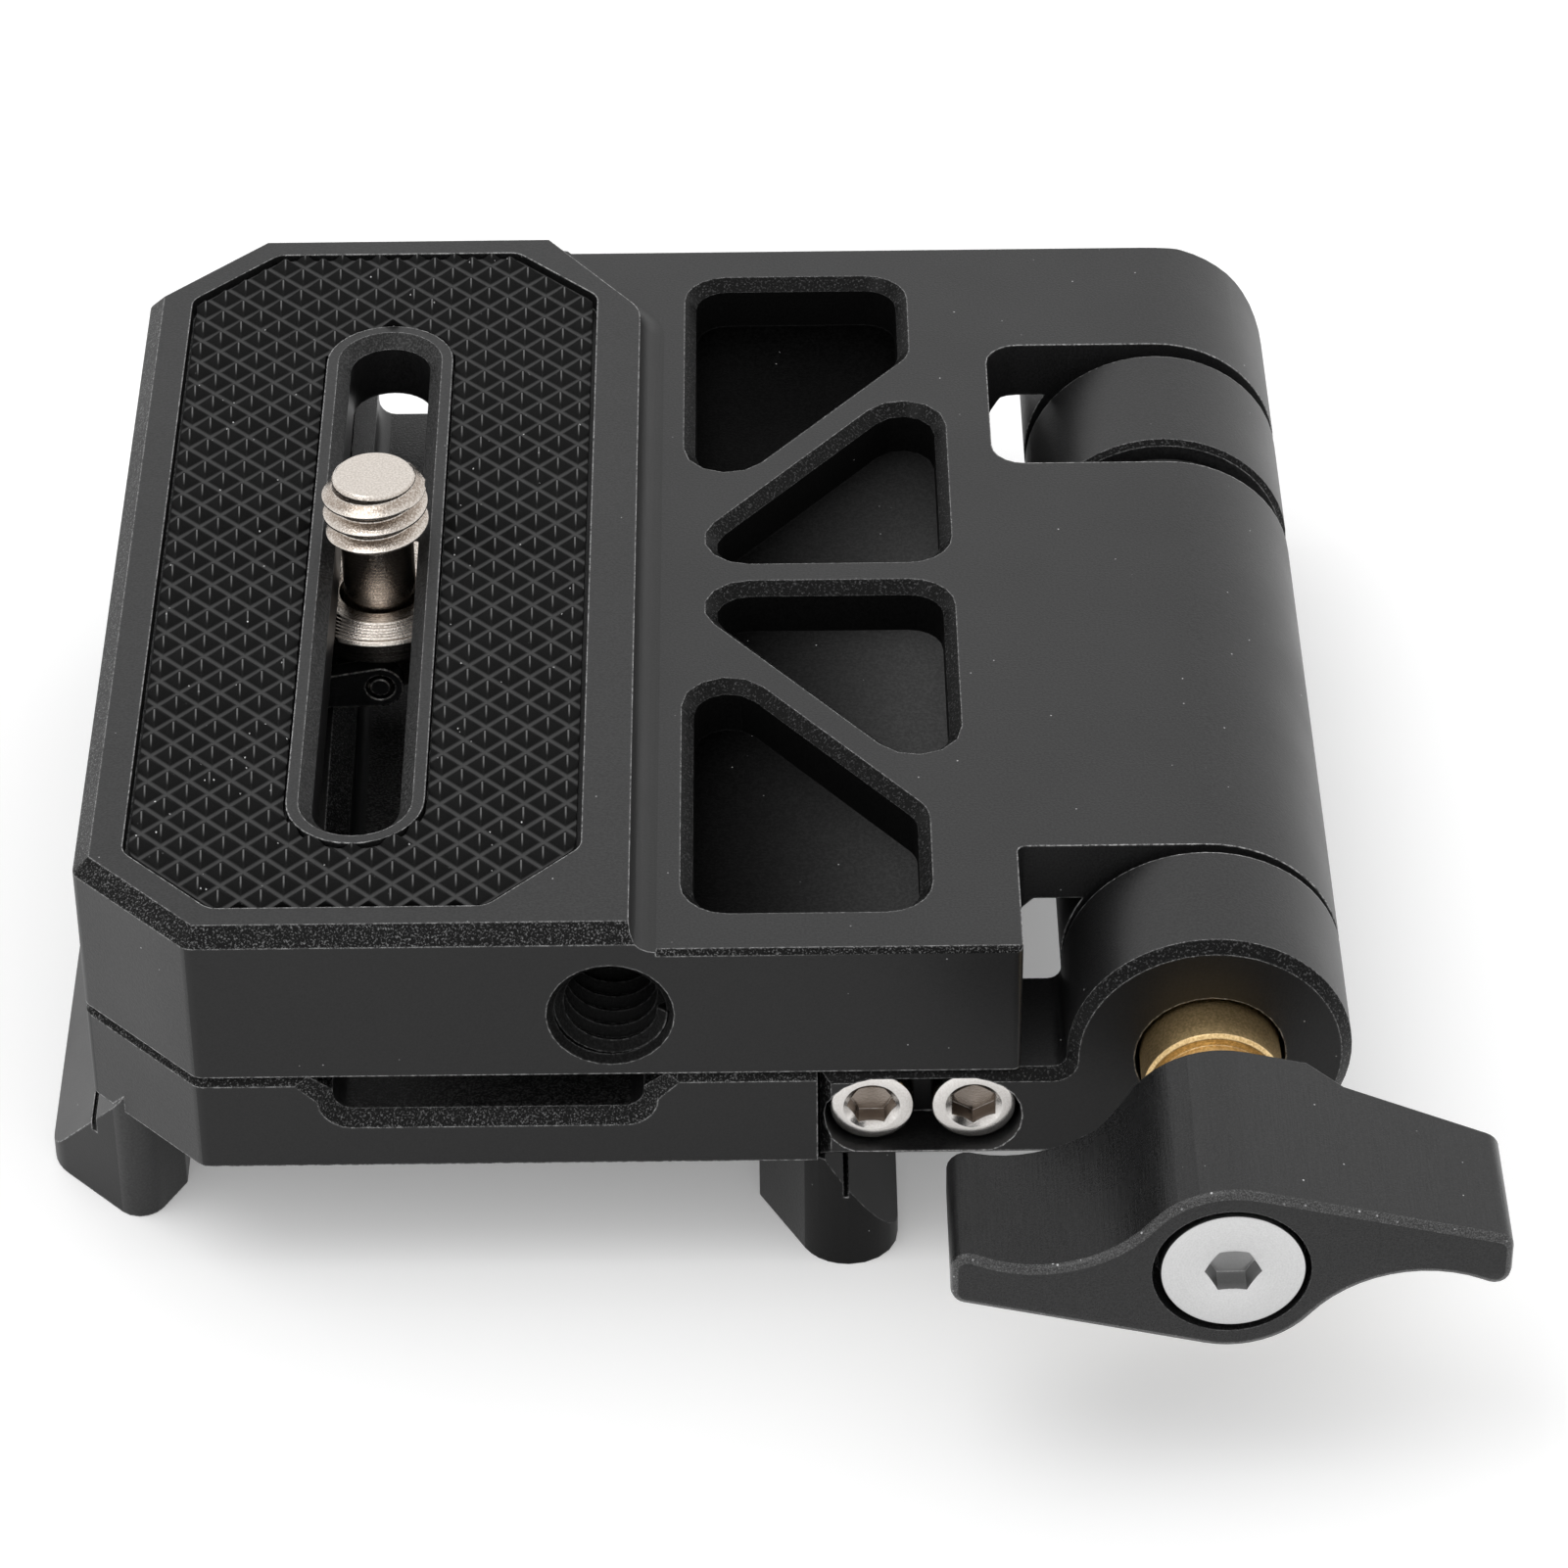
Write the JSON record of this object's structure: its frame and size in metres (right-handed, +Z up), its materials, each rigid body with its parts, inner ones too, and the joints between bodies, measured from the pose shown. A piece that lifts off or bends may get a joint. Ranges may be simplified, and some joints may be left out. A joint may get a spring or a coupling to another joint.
{
  "type": "camera quick release plate",
  "caption": "Folding quick release plate: dovetail base, hinged camera plate with rubber pad, slotted camera screw and clamp knob.",
  "frame": {"origin": "centre of the closed plate's footprint, on the underside of the dovetail rails", "axes": "+X from the free edge to the hinge, +Y from the knob to the back, +Z up through the camera seat"},
  "size_m": [0.082, 0.0898, 0.029],
  "materials": {
    "anodised": "black anodised, satin",
    "rubber": "matte moulded pyramids",
    "nylon": "smooth black",
    "black_steel": "black oxide",
    "plated_steel": "bright plated",
    "steel": "turned, satin",
    "bronze": "plain turned",
    "brass": "turned, bright"
  },
  "bodies": {
    "base": {"lower_plate": "anodised", "hinge_arm": "anodised", "arm_screw_left": "plated_steel", "arm_screw_right": "plated_steel", "front_thrust_washer": "steel", "middle_thrust_washer": "nylon", "rear_thrust_washer": "nylon"},
    "upper": {"upper_plate": "anodised", "grip_pad": "rubber", "front_bush": "bronze", "rear_bush": "bronze", "hinge_bolt": "steel", "bolt_washer": "steel"},
    "slider": {"seat_washer": "plated_steel"},
    "screw": {"camera_screw": "plated_steel", "ring_pin": "black_steel"},
    "ring": {"screw_ring": "black_steel"},
    "knob": {"clamp_knob": "anodised", "clamp_nut": "brass", "knob_screw": "steel"}
  },
  "joints": [
    {"name": "fold", "type": "hinge", "parent": "base", "child": "upper", "pos_m": [0.02595, 0.00893, 0.01538], "axis": [0, 1, 0], "range_deg": [0, 180]},
    {"name": "knob_turn", "type": "hinge", "parent": "base", "child": "knob", "pos_m": [0.02595, -0.03308, 0.01538], "axis": [0, -1, 0], "range_deg": [0, 300]},
    {"name": "screw_slide", "type": "slide", "parent": "upper", "child": "slider", "axis": [0, 1, 0], "range_m": [-0.0262, 0.018]},
    {"name": "screw_spin", "type": "hinge", "parent": "slider", "child": "screw", "pos_m": [-0.02215, 0.01158, 0.02048], "axis": [0, 0, 1], "continuous": true},
    {"name": "ring_flip", "type": "hinge", "parent": "screw", "child": "ring", "pos_m": [-0.02215, 0.01158, 0.01632], "axis": [0, 1, 0], "range_deg": [0, 16]}
  ]
}
